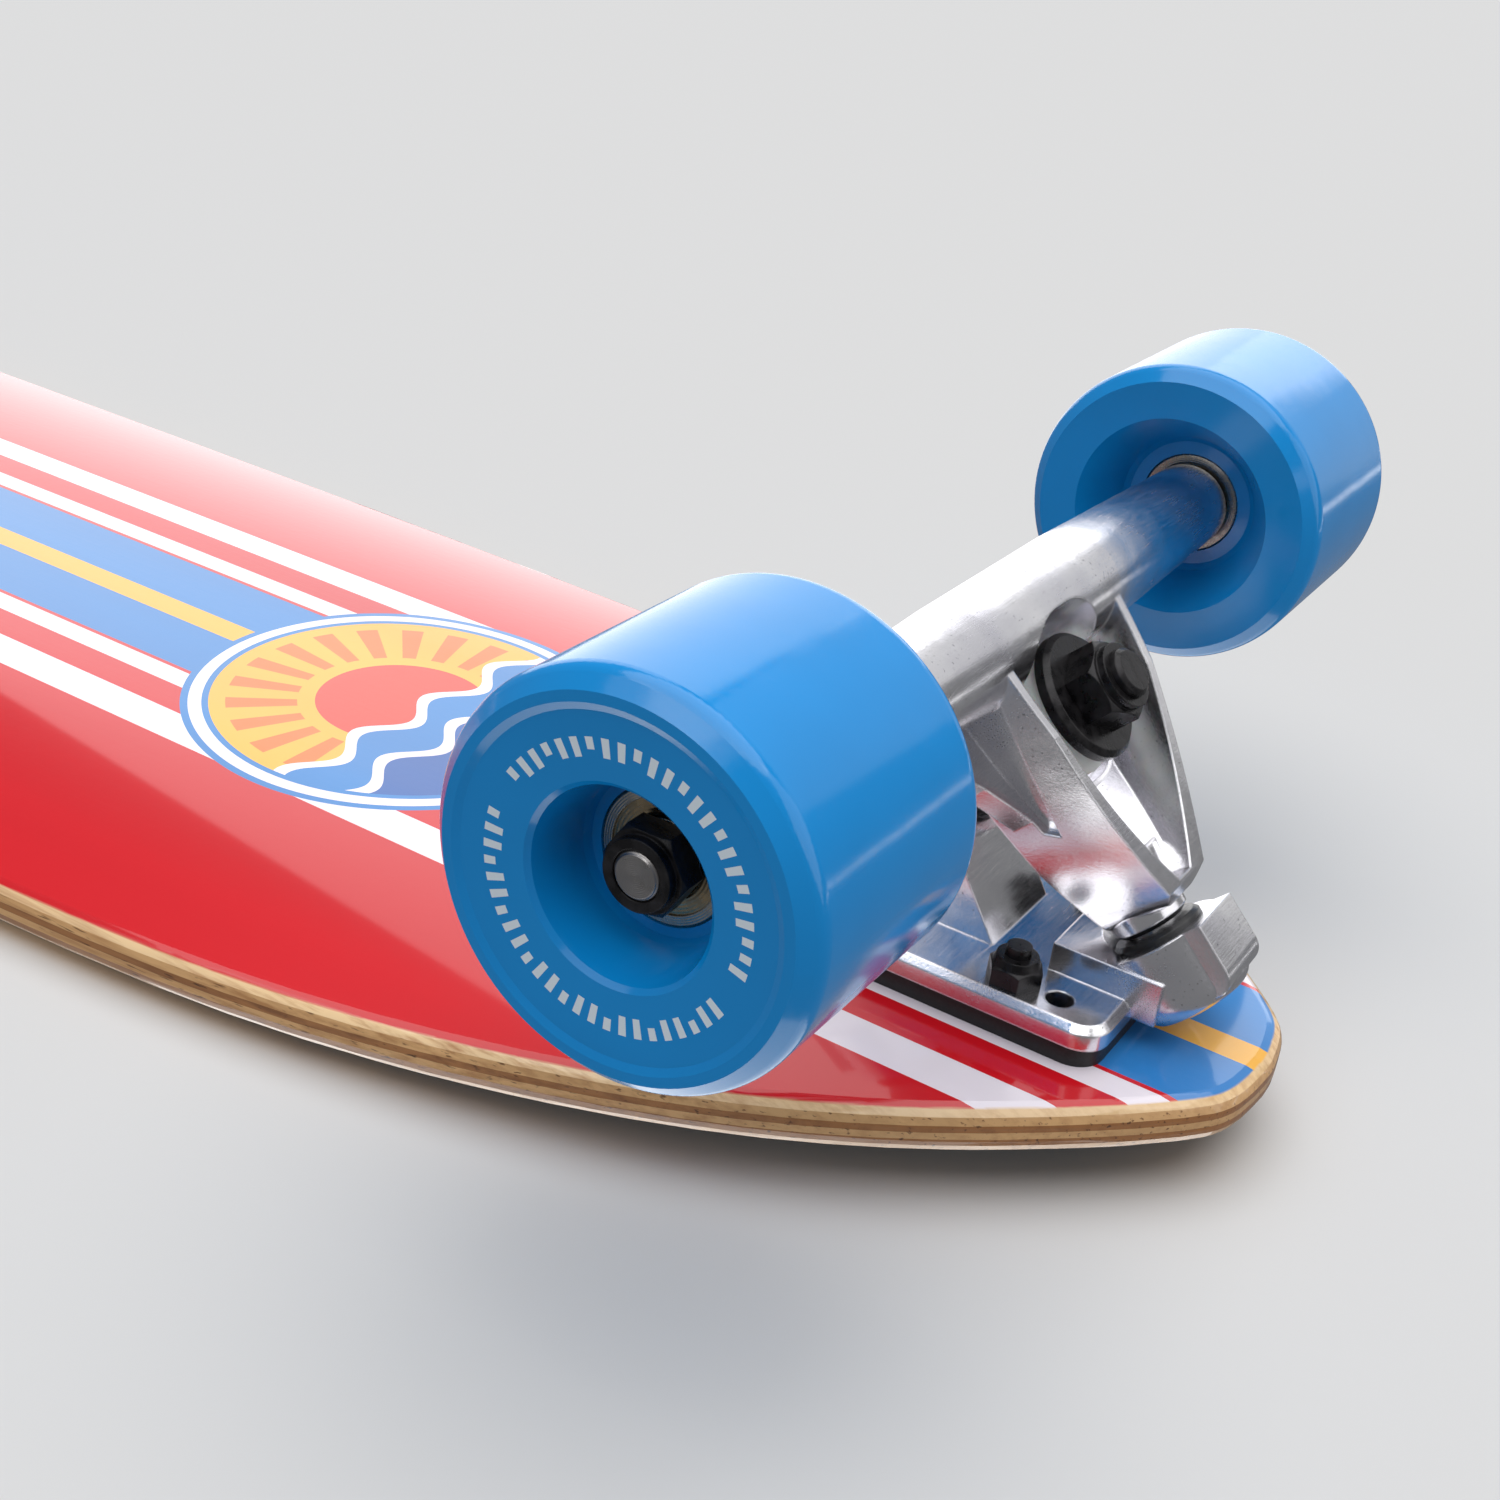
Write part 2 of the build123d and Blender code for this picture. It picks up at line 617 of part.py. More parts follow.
def hanger():
    body = hanger_tube() + hanger_tray()
    for side in (-1, 1):
        body += hanger_wing(side)
        body -= side_recess(side) - hanger_tube()
    body += extrude(well_plan(LIP_THICKNESS), LIP_TOP)
    body -= Pos(0, 0, SEAT_HALF) * extrude(well_plan(0), 30, taper=-WELL_FLARE)
    body -= Pos(0, 0, -SEAT_HALF - 30) * extrude(well_plan(0), 30)
    nose = lathe([
        (0, PIVOT_PIN_START),
        (8.6, PIVOT_PIN_START),
        (7.6, CUP_RIM_START - 1.6),
        (6.4, CUP_RIM_START - 0.6),
        (PIVOT_PIN_RADIUS, CUP_RIM_START - 0.6),
        (PIVOT_PIN_RADIUS, PIVOT_PIN_END - 2.5),
        (PIVOT_PIN_RADIUS - 2.2, PIVOT_PIN_END),
        (0, PIVOT_PIN_END),
    ])
    body += along_pivot(nose)
    body -= disc(RING_HOLE_RADIUS, -60, 60) & Box(60, 60, 30)
    bore = along_axle(disc(AXLE_RADIUS, -HANGER_HALF - 1, HANGER_HALF + 1), 1)
    body -= Pos(AXLE_ALONG_PIVOT, 0, AXLE_ALONG_KINGPIN) * bore
    return steering_frame() * body


# ---------------------------------------------------------------- axle and running gear

def axle():
    rod = disc(AXLE_RADIUS, -AXLE_HALF, AXLE_HALF)
    rod = chamfer(rod.edges().filter_by(GeomType.CIRCLE), 0.7)
    return along_axle(rod, 1)


def on_both_sides(maker):
    group = []
    for side in (-1, 1):
        group += [along_axle(part, side) for part in maker()]
    return Compound(children=group)


def speed_washers():
    start = HANGER_HALF
    outer = bearing_start() + 2 * BEARING_WIDTH + SPACER_LENGTH
    for place in (start, outer):
        yield tube(SPEED_WASHER_RADIUS, AXLE_RADIUS, place, place + SPEED_WASHER_THICKNESS)


def axle_nuts():
    start = bearing_start() + 2 * BEARING_WIDTH + SPACER_LENGTH + SPEED_WASHER_THICKNESS
    end = start + AXLE_NUT_HEX
    crown = lathe([(0, start), (7.6, start), (7.6, end - 1.0), (6.5, end), (0, end)])
    nut = hexagon(AXLE_NUT_ACROSS, start, end) & crown
    nut += disc(5.7, end, end + AXLE_NUT_COLLAR)
    yield nut - disc(AXLE_RADIUS, start - 1, end + 5)


def bearing_places():
    first = bearing_start()
    return (first, first + BEARING_WIDTH + SPACER_LENGTH)


def groove(part, start):
    """Ball track of a bearing ring."""
    ring = Torus(BALL_PITCH_RADIUS, BALL_RADIUS + RACE_CLEARANCE)
    return part - Pos(0, 0, start + BEARING_WIDTH / 2) * ring


def ring_profile(inner, outer, start):
    """Bearing ring with its outer corners broken."""
    end = start + BEARING_WIDTH
    return lathe([
        (inner, start),
        (outer - RING_CORNER, start),
        (outer, start + RING_CORNER),
        (outer, end - RING_CORNER),
        (outer - RING_CORNER, end),
        (inner, end),
    ])


def inner_rings():
    for start in bearing_places():
        ring = tube(INNER_RING_RADIUS, AXLE_RADIUS, start, start + BEARING_WIDTH)
        yield groove(ring, start)


def outer_rings():
    for start in bearing_places():
        yield groove(ring_profile(OUTER_RING_INNER_RADIUS, BEARING_RADIUS, start), start)


def spacers():
    start = bearing_start() + BEARING_WIDTH
    yield tube(SPACER_RADIUS, AXLE_RADIUS, start, start + SPACER_LENGTH)


def shields():
    for start in bearing_places():
        for place in (start + SHIELD_INSET, start + BEARING_WIDTH - SHIELD_INSET - SHIELD_THICKNESS):
            yield tube(OUTER_RING_INNER_RADIUS, INNER_RING_RADIUS + 0.35, place, place + SHIELD_THICKNESS)


def balls_and_cages():
    for start in bearing_places():
        middle = start + BEARING_WIDTH / 2
        cage = tube(
            BALL_PITCH_RADIUS + CAGE_THICKNESS,
            BALL_PITCH_RADIUS - CAGE_THICKNESS,
            middle - CAGE_WIDTH / 2,
            middle + CAGE_WIDTH / 2,
        )
        for number in range(BALL_COUNT):
            angle = 360 * number / BALL_COUNT
            ball = Rot(0, 0, angle) * Pos(BALL_PITCH_RADIUS, 0, middle) * Sphere(BALL_RADIUS)
            cage += ball
        yield cage


def wheel_body():
    half = WHEEL_WIDTH / 2
    bearing_in = SPACER_LENGTH / 2
    bearing_out = bearing_in + BEARING_WIDTH
    profile = [
        (WHEEL_RADIUS, -(half - WHEEL_LIP)),
        (WHEEL_RADIUS, half - WHEEL_LIP),
        (WHEEL_RADIUS - WHEEL_LIP, half),
        (WHEEL_RIDGE_RADIUS, half),
        (WHEEL_DISH_RADIUS, half - WHEEL_RIDGE_STEP),
        (WHEEL_BORE_RIM + 0.8, half - WHEEL_BORE_DEPTH + 0.3),
        (WHEEL_BORE_RIM, half - WHEEL_BORE_DEPTH - 0.5),
        (WHEEL_BORE_BOTTOM + 0.6, bearing_out + 1.4),
        (WHEEL_BORE_BOTTOM, bearing_out),
        (BEARING_RADIUS, bearing_out),
        (BEARING_RADIUS, bearing_in),
        (WHEEL_CENTRE_BORE, bearing_in),
        (WHEEL_CENTRE_BORE, -bearing_in),
        (BEARING_RADIUS, -bearing_in),
        (BEARING_RADIUS, -bearing_out),
        (WHEEL_INNER_RIM - 1.2, -bearing_out),
        (WHEEL_INNER_RIM, -bearing_out - 1.2),
        (WHEEL_INNER_RECESS, -(half - 0.8)),
        (WHEEL_RADIUS - WHEEL_LIP, -half),
    ]
    body = lathe(profile)
    rims = body.edges().filter_by(GeomType.CIRCLE).filter_by(lambda e: abs(e.radius - WHEEL_RADIUS) < 0.01)
    return fillet(rims, WHEEL_LIP_ROUND)


def wheel():
    yield Pos(0, 0, wheel_centre()) * wheel_body()


# ---------------------------------------------------------------- write the files

def save(name, part):
    export_step(part, "parts/" + name + ".step")


os.makedirs("parts", exist_ok=True)

for number, ply in deck_plies():
    save(f"deck_ply_{number}", ply)
save("grip_tape", grip_tape())

TRUCK_PARTS = {
    "riser_pad": riser_pad,
    "baseplate": baseplate,
    "kingpin": kingpin,
    "kingpin_nut": kingpin_nut,
    "washer_roadside": washer_roadside,
    "washer_boardside": washer_boardside,
    "bushing_roadside": bushing_roadside,
    "bushing_boardside": bushing_boardside,
    "pivot_cup": pivot_cup,
    "deck_bolts": deck_bolts,
    "deck_nuts": deck_nuts,
    "hanger": hanger,
    "axle": axle,
}
RUNNING_PARTS = {
    "speed_washers": speed_washers,
    "axle_nuts": axle_nuts,
    "bearing_inner_rings": inner_rings,
    "bearing_spacers": spacers,
}
WHEEL_PARTS = {
    "wheel": wheel,
    "bearing_outer_rings": outer_rings,
    "bearing_shields": shields,
    "bearing_balls": balls_and_cages,
}
for end, axle_x, turned in (("rear", REAR_AXLE_X, True), ("front", FRONT_AXLE_X, False)):
    for name, maker in TRUCK_PARTS.items():
        save(f"{name}_{end}", place_truck(maker(), axle_x, turned))
    for name, maker in RUNNING_PARTS.items():
        save(f"{name}_{end}", place_truck(on_both_sides(maker), axle_x, turned))
    for hand, y_sign in (("left", 1), ("right", -1)):
        side = -y_sign if turned else y_sign
        for name, maker in WHEEL_PARTS.items():
            parts = [along_axle(part, side) for part in maker()]
            group = parts[0] if len(parts) == 1 else Compound(children=parts)
            save(f"{name}_{end}_{hand}", place_truck(group, axle_x, turned))
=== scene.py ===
import json
import math

import bmesh
import bpy
from mathutils import Matrix, Vector


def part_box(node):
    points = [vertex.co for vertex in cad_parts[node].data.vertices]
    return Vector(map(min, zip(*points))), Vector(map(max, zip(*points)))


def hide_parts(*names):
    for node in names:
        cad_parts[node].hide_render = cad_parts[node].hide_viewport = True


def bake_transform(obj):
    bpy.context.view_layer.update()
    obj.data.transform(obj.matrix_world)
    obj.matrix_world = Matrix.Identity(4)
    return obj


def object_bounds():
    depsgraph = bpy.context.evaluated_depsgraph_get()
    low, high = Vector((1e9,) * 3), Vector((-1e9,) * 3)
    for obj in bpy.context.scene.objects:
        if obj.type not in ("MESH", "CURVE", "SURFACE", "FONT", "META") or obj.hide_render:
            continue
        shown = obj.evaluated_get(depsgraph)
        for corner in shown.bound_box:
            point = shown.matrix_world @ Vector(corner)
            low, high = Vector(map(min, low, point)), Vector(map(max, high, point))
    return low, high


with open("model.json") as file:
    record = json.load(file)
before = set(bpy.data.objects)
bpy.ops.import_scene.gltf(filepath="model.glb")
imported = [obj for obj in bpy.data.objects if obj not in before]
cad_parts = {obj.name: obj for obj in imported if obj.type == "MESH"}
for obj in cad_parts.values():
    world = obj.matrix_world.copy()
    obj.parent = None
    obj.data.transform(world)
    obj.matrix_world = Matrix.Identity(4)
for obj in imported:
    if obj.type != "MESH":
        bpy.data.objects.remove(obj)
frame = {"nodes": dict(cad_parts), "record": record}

# A pintail longboard skateboard. The frame stands wheels down; the camera is where it is when the
# board lies on its deck, so it looks up at the underside from below the wheels.

cad_low, cad_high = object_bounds()

ENDS = ("rear", "front")

axle_box = {end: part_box("axle_" + end) for end in ENDS}
AXLE = {end: (axle_box[end][0] + axle_box[end][1]) / 2 for end in ENDS}
STEER = {joint["child"]: joint for joint in frame["record"]["behaviour"]["joints"]}
RING = {end: Vector(STEER["truck_" + end]["pos_m"]) for end in ENDS}
PIVOT = {end: Vector(STEER["truck_" + end]["axis"]).normalized() for end in ENDS}
KINGPIN = {end: Vector((PIVOT[end].x, 0, -PIVOT[end].z)) for end in ENDS}
MM = 0.001


# ------------------------------------------------------------------ node helpers

def new_material(name):
    material = bpy.data.materials.new(name)
    material.use_nodes = True
    tree = material.node_tree
    tree.nodes.clear()
    output = tree.nodes.new("ShaderNodeOutputMaterial")
    shader = tree.nodes.new("ShaderNodeBsdfPrincipled")
    tree.links.new(shader.outputs[0], output.inputs[0])
    return material, tree, shader


def node(tree, kind, **settings):
    made = tree.nodes.new(kind)
    for key, value in settings.items():
        setattr(made, key, value)
    return made


def feed(tree, target, value):
    """Set a socket to a number, a colour or another socket."""
    if isinstance(value, bpy.types.NodeSocket):
        tree.links.new(value, target)
    else:
        target.default_value = value


def maths(tree, operation, first, second=0.0):
    made = node(tree, "ShaderNodeMath", operation=operation)
    feed(tree, made.inputs[0], first)
    feed(tree, made.inputs[1], second)
    return made.outputs[0]


def rgba(colour):
    return (colour[0], colour[1], colour[2], 1.0)


def srgb(red, green, blue):
    """Linear colour from 0-255 display values."""
    def linear(value):
        value = value / 255
        return value / 12.92 if value <= 0.04045 else ((value + 0.055) / 1.055) ** 2.4
    return (linear(red), linear(green), linear(blue))


def scaled(colour, share, lift=0.0):
    return tuple(channel * share + lift for channel in colour)


def mix(tree, share, first, second):
    made = node(tree, "ShaderNodeMix", data_type="RGBA")
    feed(tree, made.inputs[0], share)
    feed(tree, made.inputs[6], rgba(first) if isinstance(first, tuple) else first)
    feed(tree, made.inputs[7], rgba(second) if isinstance(second, tuple) else second)
    return made.outputs[2]


def position(tree):
    """Point in metres in the piece's own frame, which is the row frame at rest."""
    return node(tree, "ShaderNodeTexCoord").outputs["Object"]


def parts_of(tree, vector):
    split = node(tree, "ShaderNodeSeparateXYZ")
    tree.links.new(vector, split.inputs[0])
    return split.outputs[0], split.outputs[1], split.outputs[2]


def noise(tree, vector, scale, detail=3.0, roughness=0.5):
    made = node(tree, "ShaderNodeTexNoise")
    tree.links.new(vector, made.inputs["Vector"])
    made.inputs["Scale"].default_value = scale
    made.inputs["Detail"].default_value = detail
    made.inputs["Roughness"].default_value = roughness
    return made.outputs[0]


def span(tree, value, low, high, out_low, out_high):
    made = node(tree, "ShaderNodeMapRange")
    feed(tree, made.inputs[0], value)
    for place, number in enumerate((low, high, out_low, out_high)):
        made.inputs[place + 1].default_value = number
    return made.outputs[0]


def smooth_step(tree, value, low, high):
    return span(tree, value, low, high, 0.0, 1.0)


def inside(tree, value, low, high):
    """One between two numbers, nought outside."""
    above = maths(tree, "GREATER_THAN", value, low)
    below = maths(tree, "LESS_THAN", value, high)
    return maths(tree, "MULTIPLY", above, below)


def add(tree, *values):
    total = values[0]
    for value in values[1:]:
        total = maths(tree, "ADD", total, value)
    return total


def times(tree, *values):
    total = values[0]
    for value in values[1:]:
        total = maths(tree, "MULTIPLY", total, value)
    return total


def stretched(tree, vector, scale):
    """Point scaled differently along each axis, for grain."""
    made = node(tree, "ShaderNodeVectorMath", operation="MULTIPLY")
    tree.links.new(vector, made.inputs[0])
    made.inputs[1].default_value = scale
    return made.outputs[0]


def soft_edges(tree, radius):
    """Normal that rounds sharp edges over, for a highlight along them."""
    made = node(tree, "ShaderNodeBevel", samples=4)
    made.inputs["Radius"].default_value = radius
    return made.outputs[0]


def relief(tree, shader, layers, edge=0.0):
    """Stack bump layers, each a (height, distance), on a softened normal."""
    normal = soft_edges(tree, edge) if edge else None
    for height, distance in layers:
        made = node(tree, "ShaderNodeBump")
        made.inputs["Distance"].default_value = distance
        tree.links.new(height, made.inputs["Height"])
        if normal:
            tree.links.new(normal, made.inputs["Normal"])
        normal = made.outputs[0]
    if normal:
        tree.links.new(normal, shader.inputs["Normal"])


def from_axle(tree, end):
    """Distance across and angle about an axle, with the sideways distance from the board's middle."""
    x, y, z = parts_of(tree, position(tree))
    across = maths(tree, "SUBTRACT", x, AXLE[end].x)
    up = maths(tree, "SUBTRACT", z, AXLE[end].z)
    radius = maths(tree, "SQRT", add(tree, times(tree, across, across), times(tree, up, up)))
    return radius, maths(tree, "ARCTAN2", up, across), maths(tree, "ABSOLUTE", y)


def paint_node(name, material):
    thing = frame["nodes"][name]
    for slot in thing.material_slots:
        slot.material = material
    if not thing.material_slots:
        thing.data.materials.append(material)


# ------------------------------------------------------------------ the printed deck

PRINT_RED = srgb(205, 16, 30)
PRINT_BLUE = srgb(40, 126, 196)
PRINT_YELLOW = srgb(242, 178, 60)
PRINT_WHITE = srgb(236, 228, 236)
WOOD_LIGHT = srgb(228, 180, 124)
WOOD_PALE = srgb(238, 202, 152)
WOOD_DARK = srgb(184, 130, 80)
# colour changes, metres out from the board's middle line
STRIPES = (
    (0.00373, PRINT_BLUE),
    (0.02245, PRINT_RED),
    (0.02365, PRINT_WHITE),
    (0.0298, PRINT_RED),
    (0.0391, PRINT_WHITE),
    (0.0487, PRINT_RED),
)
EMBLEM_FROM_AXLE = 143 * MM
EMBLEM_RADIUS = 50 * MM
EMBLEM_RINGS = ((1.0, PRINT_BLUE), (0.965, PRINT_WHITE), (0.905, PRINT_BLUE), (0.875, PRINT_YELLOW))
SUN_RADIUS = 20 * MM
SUN_GAP = 4 * MM
SUN_RAYS = 22.0
SUN_RED = srgb(222, 62, 44)
RAY_ORANGE = srgb(236, 120, 48)
DEEP_BLUE = srgb(28, 92, 168)
WAVE_PAINTS = (PRINT_WHITE, PRINT_BLUE, PRINT_WHITE, DEEP_BLUE)
WAVE_RATE = 260.0
WAVE_SHIFT = 1.4
WAVE_SWELL = 3.2 * MM
WAVE_FIRST = 4 * MM
WAVE_STEP = 12.5 * MM
CREST_WIDTH = 3.2 * MM
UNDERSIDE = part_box("deck_ply_1")[0].z
CONCAVE_FLAT = 30 * MM
CONCAVE_RADIUS = 300 * MM
RAIL_FADE = (0.3 * MM, 0.5 * MM)


def stripes(tree, y):
    across = maths(tree, "ABSOLUTE", y)
    colour = mix(tree, maths(tree, "GREATER_THAN", across, STRIPES[0][0]), PRINT_YELLOW, STRIPES[0][1])
    for edge, paint in STRIPES[1:]:
        colour = mix(tree, maths(tree, "GREATER_THAN", across, edge), colour, paint)
    return colour


def emblem(tree, x, y, colour):
    """Round badge of a low sun over waves, with no lettering."""
    along = maths(tree, "SUBTRACT", x, AXLE["rear"].x + EMBLEM_FROM_AXLE)
    radius = maths(tree, "SQRT", add(tree, times(tree, along, along), times(tree, y, y)))
    for share, paint in EMBLEM_RINGS:
        colour = mix(tree, maths(tree, "LESS_THAN", radius, share * EMBLEM_RADIUS), colour, paint)
    field = maths(tree, "LESS_THAN", radius, EMBLEM_RINGS[-1][0] * EMBLEM_RADIUS)
    turn = maths(tree, "ARCTAN2", y, along)
    rays = maths(tree, "GREATER_THAN", maths(tree, "SINE", times(tree, turn, SUN_RAYS)), 0.1)
    beyond_sun = inside(tree, radius, SUN_RADIUS + SUN_GAP, EMBLEM_RADIUS * 0.8)
    colour = mix(tree, times(tree, rays, beyond_sun, field), colour, RAY_ORANGE)
    colour = mix(tree, maths(tree, "LESS_THAN", radius, SUN_RADIUS), colour, SUN_RED)
    for number, paint in enumerate(WAVE_PAINTS):
        wave, under_crest = divmod(number, 2)
        phase = add(tree, times(tree, y, WAVE_RATE), WAVE_SHIFT * wave)
        swell = times(tree, maths(tree, "SINE", phase), WAVE_SWELL)
        line = add(tree, swell, -(WAVE_FIRST + WAVE_STEP * wave + CREST_WIDTH * under_crest))
        colour = mix(tree, times(tree, maths(tree, "LESS_THAN", along, line), field), colour, paint)
    return colour


def grain(tree, place, across_scale=620.0):
    """Wood figure that runs along the board."""
    lines = noise(tree, stretched(tree, place, (9.0, across_scale, across_scale)), 1.0, 4.0, 0.6)
    clouds = noise(tree, stretched(tree, place, (4.0, 38.0, 38.0)), 1.0, 2.0)
    return lines, clouds


def wood_colour(tree, place, base, dark):
    lines, clouds = grain(tree, place)
    colour = mix(tree, smooth_step(tree, lines, 0.42, 0.68), base, dark)
    return mix(tree, smooth_step(tree, clouds, 0.3, 0.75), colour, scaled(base, 0.8)), lines


def lacquer(shader, roughness, coat):
    shader.inputs["Roughness"].default_value = roughness
    shader.inputs["Coat Weight"].default_value = coat
    shader.inputs["Coat Roughness"].default_value = 0.06


def above_underside(tree, y, z):
    """Height over the concave underside, which is flat in the middle and an arc to each rail."""
    out = maths(tree, "MAXIMUM", maths(tree, "SUBTRACT", maths(tree, "ABSOLUTE", y), CONCAVE_FLAT), 0.0)
    chord = maths(tree, "SQRT", maths(tree, "SUBTRACT", CONCAVE_RADIUS ** 2, times(tree, out, out)))
    rise = maths(tree, "SUBTRACT", CONCAVE_RADIUS, chord)
    return maths(tree, "SUBTRACT", maths(tree, "SUBTRACT", z, UNDERSIDE), rise)


def deck_print():
    """Screen-printed stripes and badge under gloss lacquer, sanded back to wood round the rail."""
    material, tree, shader = new_material("deck_print")
    place = position(tree)
    x, y, z = parts_of(tree, place)
    colour = emblem(tree, x, y, stripes(tree, y))
    lines, clouds = grain(tree, place, 900.0)
    colour = mix(tree, span(tree, clouds, 0.3, 0.7, 0.0, 0.10), colour, srgb(90, 10, 16))
    bare = wood_colour(tree, place, WOOD_PALE, WOOD_DARK)[0]
    colour = mix(tree, smooth_step(tree, above_underside(tree, y, z), *RAIL_FADE), colour, bare)
    feed(tree, shader.inputs["Base Color"], colour)
    lacquer(shader, 0.28, 0.85)
    shader.inputs["Specular IOR Level"].default_value = 0.15
    shader.inputs["Coat IOR"].default_value = 1.5
    peel = noise(tree, place, 420.0, 2.0)
    relief(tree, shader, ((lines, 0.00002), (peel, 0.00002)))
    return material


def ply(name, base, dark):
    """Lacquered edge of one veneer."""
    material, tree, shader = new_material(name)
    place = position(tree)
    colour, lines = wood_colour(tree, place, base, dark)
    pores = noise(tree, stretched(tree, place, (120.0, 1400.0, 1400.0)), 1.0, 2.0)
    colour = mix(tree, smooth_step(tree, pores, 0.62, 0.72), colour, scaled(dark, 0.45))
    feed(tree, shader.inputs["Base Color"], colour)
    lacquer(shader, 0.36, 0.7)
    relief(tree, shader, ((lines, 0.00006), (pores, 0.00004)))
    return material


def grip():
    """Black grit on a glued sheet, with painted glints: the odd grain coloured light grey."""
    material, tree, shader = new_material("grip")
    place = position(tree)
    grit = node(tree, "ShaderNodeTexVoronoi")
    tree.links.new(place, grit.inputs["Vector"])
    grit.inputs["Scale"].default_value = 2200.0
    coarse = noise(tree, place, 60.0, 3.0)
    # painted highlight: random grains get a light grey base colour that stands in for glints off the grit
    painted_glint = maths(tree, "GREATER_THAN", noise(tree, place, 3100.0, 1.0), 0.72)
    colour = mix(tree, span(tree, coarse, 0.35, 0.7, 0.0, 1.0), srgb(24, 24, 25), srgb(40, 40, 41))
    colour = mix(tree, times(tree, painted_glint, 0.6), colour, srgb(120, 120, 122))
    feed(tree, shader.inputs["Base Color"], colour)
    feed(tree, shader.inputs["Roughness"], span(tree, coarse, 0.3, 0.7, 0.8, 0.95))
    relief(tree, shader, ((grit.outputs["Distance"], 0.00025),))
    return material


# ------------------------------------------------------------------ metals, rubber and urethane

def cast_aluminium():
    """Polished casting: bright, a little wavy, with fine polishing lines and small pits."""
    material, tree, shader = new_material("cast_aluminium")
    place = position(tree)
    wave = noise(tree, place, 55.0, 2.0)
    lines = noise(tree, stretched(tree, place, (2600.0, 160.0, 2600.0)), 1.0, 2.0)
    pits = noise(tree, place, 1500.0, 3.0)
    tint = mix(tree, smooth_step(tree, wave, 0.35, 0.7), srgb(236, 235, 238), srgb(208, 207, 214))
    pitted = mix(tree, smooth_step(tree, pits, 0.66, 0.74), tint, srgb(150, 150, 155))
    feed(tree, shader.inputs["Base Color"], pitted)
    rough = add(tree, span(tree, wave, 0.3, 0.7, 0.13, 0.24), span(tree, lines, 0.3, 0.7, 0.0, 0.07))
    feed(tree, shader.inputs["Roughness"], rough)
    shader.inputs["Metallic"].default_value = 1.0
    relief(tree, shader, ((wave, 0.0003), (lines, 0.00001), (pits, 0.000012)), edge=0.0007)
    return material


def black_steel():
    """Oiled black oxide on bolts, nuts and washers."""
    material, tree, shader = new_material("black_steel")
    place = position(tree)
    cloud = noise(tree, place, 380.0, 3.0)
    fine = noise(tree, place, 2400.0, 2.0)
    oiled = mix(tree, smooth_step(tree, cloud, 0.4, 0.7), srgb(20, 19, 21), srgb(44, 42, 44))
    feed(tree, shader.inputs["Base Color"], oiled)
    feed(tree, shader.inputs["Roughness"], span(tree, cloud, 0.3, 0.7, 0.2, 0.42))
    shader.inputs["Metallic"].default_value = 0.5
    relief(tree, shader, ((cloud, 0.00008), (fine, 0.00003)), edge=0.0004)
    return material


def turned_steel(name, colour, roughness, end, ring_pitch=0.0004):
    """Steel turned on a lathe, with fine rings about its axle."""
    material, tree, shader = new_material(name)
    radius = from_axle(tree, end)[0]
    rings = maths(tree, "SINE", times(tree, radius, 2 * math.pi / ring_pitch))
    cloud = noise(tree, position(tree), 700.0, 3.0)
    worn = mix(tree, smooth_step(tree, cloud, 0.35, 0.7), colour, scaled(colour, 0.88))
    feed(tree, shader.inputs["Base Color"], worn)
    feed(tree, shader.inputs["Roughness"], span(tree, cloud, 0.3, 0.7, roughness * 0.75, roughness * 1.4))
    shader.inputs["Metallic"].default_value = 1.0
    relief(tree, shader, ((rings, 0.000008), (cloud, 0.000008)), edge=0.00025)
    return material


def ball_steel():
    material, tree, shader = new_material("bearing_ball")
    cloud = noise(tree, position(tree), 900.0, 2.0)
    feed(tree, shader.inputs["Base Color"], mix(tree, cloud, srgb(196, 194, 192), srgb(222, 222, 226)))
    feed(tree, shader.inputs["Roughness"], span(tree, cloud, 0.3, 0.7, 0.08, 0.18))
    shader.inputs["Metallic"].default_value = 1.0
    return material


def moulded(name, colour, roughness):
    """Black moulded rubber or plastic."""
    material, tree, shader = new_material(name)
    place = position(tree)
    cloud = noise(tree, place, 130.0, 3.0)
    fine = noise(tree, place, 1700.0, 3.0)
    dusty = mix(tree, smooth_step(tree, cloud, 0.3, 0.7), colour, scaled(colour, 1.7, 0.002))
    feed(tree, shader.inputs["Base Color"], dusty)
    spread = 0.15 / 2
    feed(tree, shader.inputs["Roughness"], span(tree, fine, 0.3, 0.7, roughness - spread, roughness + spread))
    relief(tree, shader, ((cloud, 0.00015), (fine, 0.00005)), edge=0.0004)
    return material


def bushing_urethane():
    """Milky cast urethane, slightly see-through."""
    material, tree, shader = new_material("bushing")
    place = position(tree)
    cloud = noise(tree, place, 160.0, 3.0)
    fine = noise(tree, place, 1300.0, 2.0)
    milk = mix(tree, smooth_step(tree, cloud, 0.3, 0.7), srgb(214, 218, 214), srgb(232, 234, 232))
    feed(tree, shader.inputs["Base Color"], milk)
    feed(tree, shader.inputs["Roughness"], span(tree, fine, 0.3, 0.7, 0.26, 0.4))
    shader.inputs["Subsurface Weight"].default_value = 0.35
    shader.inputs["Subsurface Scale"].default_value = 0.004
    relief(tree, shader, ((cloud, 0.0002), (fine, 0.00003)))
    return material


WHEEL_BLUE = srgb(12, 138, 212)
PRINT_RING = (19.6 * MM, 22.6 * MM)
PRINT_DASHES = 52
DASH_CELL = (0.18, 0.66)
SHORT_DASH_CUT = 1.1 * MM
GAP_TURN = 0.42
GAP_HALF_WIDTH = 0.13
OUTER_FACE = 120 * MM


